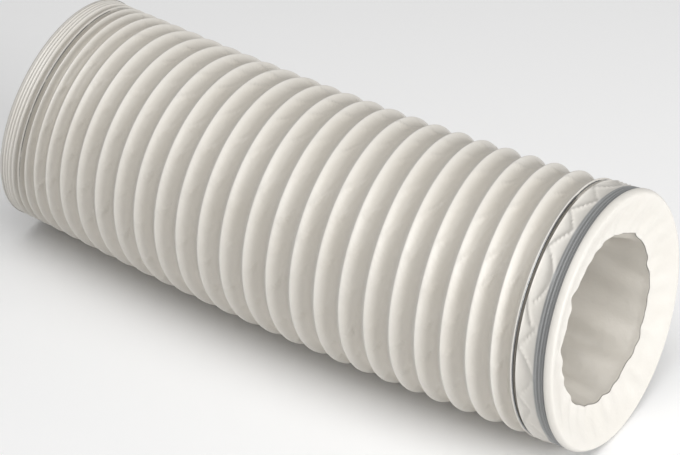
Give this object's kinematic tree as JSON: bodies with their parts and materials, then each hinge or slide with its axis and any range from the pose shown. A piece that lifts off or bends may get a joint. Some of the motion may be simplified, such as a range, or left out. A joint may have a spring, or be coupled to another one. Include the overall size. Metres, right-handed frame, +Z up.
{
  "type": "flexible round duct",
  "caption": "Thin film tube over one helical spring wire, lying on its side; it slips over a round pipe collar to carry air.",
  "frame": {"origin": "centre of the bounding box, on the surface that the duct lies on", "axes": "+X along the duct toward the near end with the turned-in film, +Z up, and both ends bow toward +Y"},
  "size_m": [0.2939, 0.1116, 0.1051],
  "materials": {
    "pvc_film": "soft off-white plasticised film with a faint sheen",
    "spring_steel": "bright drawn spring wire"
  },
  "bodies": {
    "root": {"film_sleeve": "pvc_film", "wire_helix": "spring_steel"}
  },
  "joints": []
}
